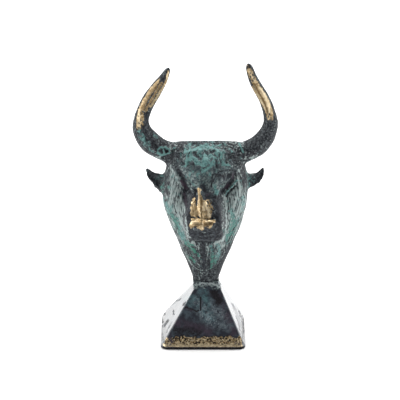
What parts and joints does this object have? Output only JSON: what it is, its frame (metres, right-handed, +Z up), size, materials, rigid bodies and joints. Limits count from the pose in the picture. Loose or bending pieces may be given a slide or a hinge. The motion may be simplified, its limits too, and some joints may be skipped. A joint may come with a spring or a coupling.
{
  "type": "bull head bust",
  "caption": "Desk bust of a horned bull's head on a narrowing neck over a pyramid plinth, cast in brass with a blue-green patina worn to bare metal on horns and nose",
  "frame": {"origin": "middle of the plinth's underside, which rests on the surface", "axes": "+Z up, +X to the viewer's right, -Y the way the bull faces"},
  "size_m": [0.0726, 0.0522, 0.1461],
  "materials": {
    "patinated_brass": "cast brass, darkened, with turquoise verdigris in the hollows and polished wear on the horns and nose",
    "plinth_brass": "cast brass, smooth and glossy slate blue, with a pitted band of bare metal along the foot"
  },
  "bodies": {
    "root": {"bull_head_bust": "patinated_brass", "pyramid_plinth": "plinth_brass"}
  },
  "joints": []
}
